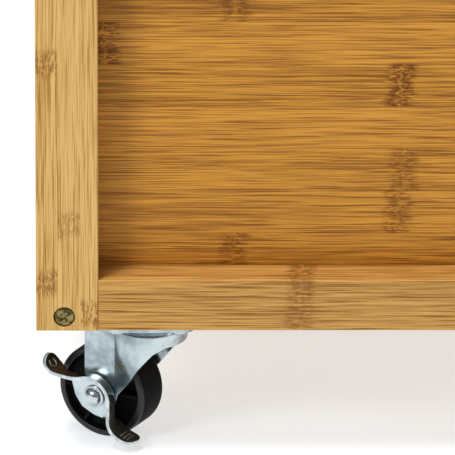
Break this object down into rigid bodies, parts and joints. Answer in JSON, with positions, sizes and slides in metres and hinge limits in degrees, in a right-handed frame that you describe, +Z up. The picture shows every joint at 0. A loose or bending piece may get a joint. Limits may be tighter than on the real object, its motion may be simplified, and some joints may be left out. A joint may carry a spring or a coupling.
{
  "type": "rolling utility cart",
  "caption": "Bamboo rolling utility cart with panelled sides, shelf, drawer and side bars, on zinc swivel casters, the front ones with foot brakes.",
  "frame": {"origin": "on the floor, under the middle of the cart's box", "axes": "+Z up, front towards -Y, right side towards +X"},
  "size_m": [0.588, 0.38, 0.8],
  "materials": {
    "bamboo_frame": "satin lacquered bamboo, light, upright grain",
    "bamboo_rail": "satin lacquered bamboo, mid tone",
    "bamboo_panel": "satin lacquered bamboo, carbonised, level grain",
    "bamboo_top": "satin lacquered bamboo",
    "dowel_wood": "raw beech",
    "bronzed_screws": "dark antique finish",
    "steel_pins": "bright steel",
    "zinc_steel": "bright zinc plate, faintly blue",
    "knob_steel": "satin steel",
    "wheel_black": "black moulded plastic, satin tread and polished rim"
  },
  "bodies": {
    "cart": {"post_front_right": "bamboo_frame", "post_front_left": "bamboo_frame", "post_rear_right": "bamboo_frame", "post_rear_left": "bamboo_frame", "side_rail_bottom_right": "bamboo_rail", "side_rail_top_right": "bamboo_rail", "side_panel_right": "bamboo_panel", "drawer_runner_right": "bamboo_rail", "side_bar_right": "bamboo_frame", "side_bar_brackets_right": "bamboo_rail", "side_rail_bottom_left": "bamboo_rail", "side_rail_top_left": "bamboo_rail", "side_panel_left": "bamboo_panel", "drawer_runner_left": "bamboo_rail", "side_bar_left": "bamboo_frame", "side_bar_brackets_left": "bamboo_rail", "back_panel": "bamboo_panel", "back_rail_top": "bamboo_rail", "bottom_shelf": "bamboo_top", "middle_shelf": "bamboo_top", "worktop": "bamboo_top", "front_rail_top": "bamboo_rail", "front_rail_middle": "bamboo_rail", "shelf_pins": "steel_pins", "frame_screws": "bronzed_screws", "frame_dowels": "dowel_wood", "worktop_screws": "zinc_steel", "caster_plate_front_right": "zinc_steel", "caster_plate_front_left": "zinc_steel", "caster_plate_rear_right": "zinc_steel", "caster_plate_rear_left": "zinc_steel", "caster_screws": "zinc_steel", "caster_kingpins": "zinc_steel", "caster_bearing_balls": "steel_pins"},
    "drawer": {"drawer_front": "bamboo_top", "drawer_side_right": "bamboo_rail", "drawer_side_left": "bamboo_rail", "drawer_back": "bamboo_rail", "drawer_bottom": "bamboo_panel", "drawer_knob": "knob_steel", "drawer_knob_screw": "zinc_steel"},
    "fork_front_right": {"caster_fork_front_right": "zinc_steel", "axle_bolt_front_right": "zinc_steel", "axle_nut_front_right": "zinc_steel"},
    "wheel_front_right": {"caster_wheel_front_right": "wheel_black"},
    "brake_front_right": {"brake_lever_front_right": "zinc_steel"},
    "fork_front_left": {"caster_fork_front_left": "zinc_steel", "axle_bolt_front_left": "zinc_steel", "axle_nut_front_left": "zinc_steel"},
    "wheel_front_left": {"caster_wheel_front_left": "wheel_black"},
    "brake_front_left": {"brake_lever_front_left": "zinc_steel"},
    "fork_rear_right": {"caster_fork_rear_right": "zinc_steel", "axle_bolt_rear_right": "zinc_steel", "axle_nut_rear_right": "zinc_steel"},
    "wheel_rear_right": {"caster_wheel_rear_right": "wheel_black"},
    "fork_rear_left": {"caster_fork_rear_left": "zinc_steel", "axle_bolt_rear_left": "zinc_steel", "axle_nut_rear_left": "zinc_steel"},
    "wheel_rear_left": {"caster_wheel_rear_left": "wheel_black"}
  },
  "joints": [
    {"name": "drawer_slide", "type": "slide", "parent": "cart", "child": "drawer", "axis": [0, -1, 0], "range_m": [0, 0.22]},
    {"name": "caster_swivel_front_right", "type": "hinge", "parent": "cart", "child": "fork_front_right", "pos_m": [0.2125, -0.1223, 0.0656], "axis": [0, 0, 1], "continuous": true},
    {"name": "wheel_spin_front_right", "type": "hinge", "parent": "fork_front_right", "child": "wheel_front_right", "pos_m": [0.20125, -0.14179, 0.025], "axis": [-0.866, 0.5, 0], "continuous": true},
    {"name": "brake_pedal_front_right", "type": "hinge", "parent": "fork_front_right", "child": "brake_front_right", "pos_m": [0.20125, -0.14179, 0.025], "axis": [0.866, -0.5, 0], "range_deg": [0, 40]},
    {"name": "caster_swivel_front_left", "type": "hinge", "parent": "cart", "child": "fork_front_left", "pos_m": [-0.2125, -0.1223, 0.0656], "axis": [0, 0, 1], "continuous": true},
    {"name": "wheel_spin_front_left", "type": "hinge", "parent": "fork_front_left", "child": "wheel_front_left", "pos_m": [-0.20125, -0.10281, 0.025], "axis": [0.866, -0.5, 0], "continuous": true},
    {"name": "brake_pedal_front_left", "type": "hinge", "parent": "fork_front_left", "child": "brake_front_left", "pos_m": [-0.20125, -0.10281, 0.025], "axis": [-0.866, 0.5, 0], "range_deg": [0, 40]},
    {"name": "caster_swivel_rear_right", "type": "hinge", "parent": "cart", "child": "fork_rear_right", "pos_m": [0.2125, 0.1223, 0.0656], "axis": [0, 0, 1], "continuous": true},
    {"name": "wheel_spin_rear_right", "type": "hinge", "parent": "fork_rear_right", "child": "wheel_rear_right", "pos_m": [0.22696, 0.10506, 0.025], "axis": [-0.766, -0.6428, 0], "continuous": true},
    {"name": "caster_swivel_rear_left", "type": "hinge", "parent": "cart", "child": "fork_rear_left", "pos_m": [-0.2125, 0.1223, 0.0656], "axis": [0, 0, 1], "continuous": true},
    {"name": "wheel_spin_rear_left", "type": "hinge", "parent": "fork_rear_left", "child": "wheel_rear_left", "pos_m": [-0.23289, 0.13181, 0.025], "axis": [0.4226, 0.9063, 0], "continuous": true}
  ]
}
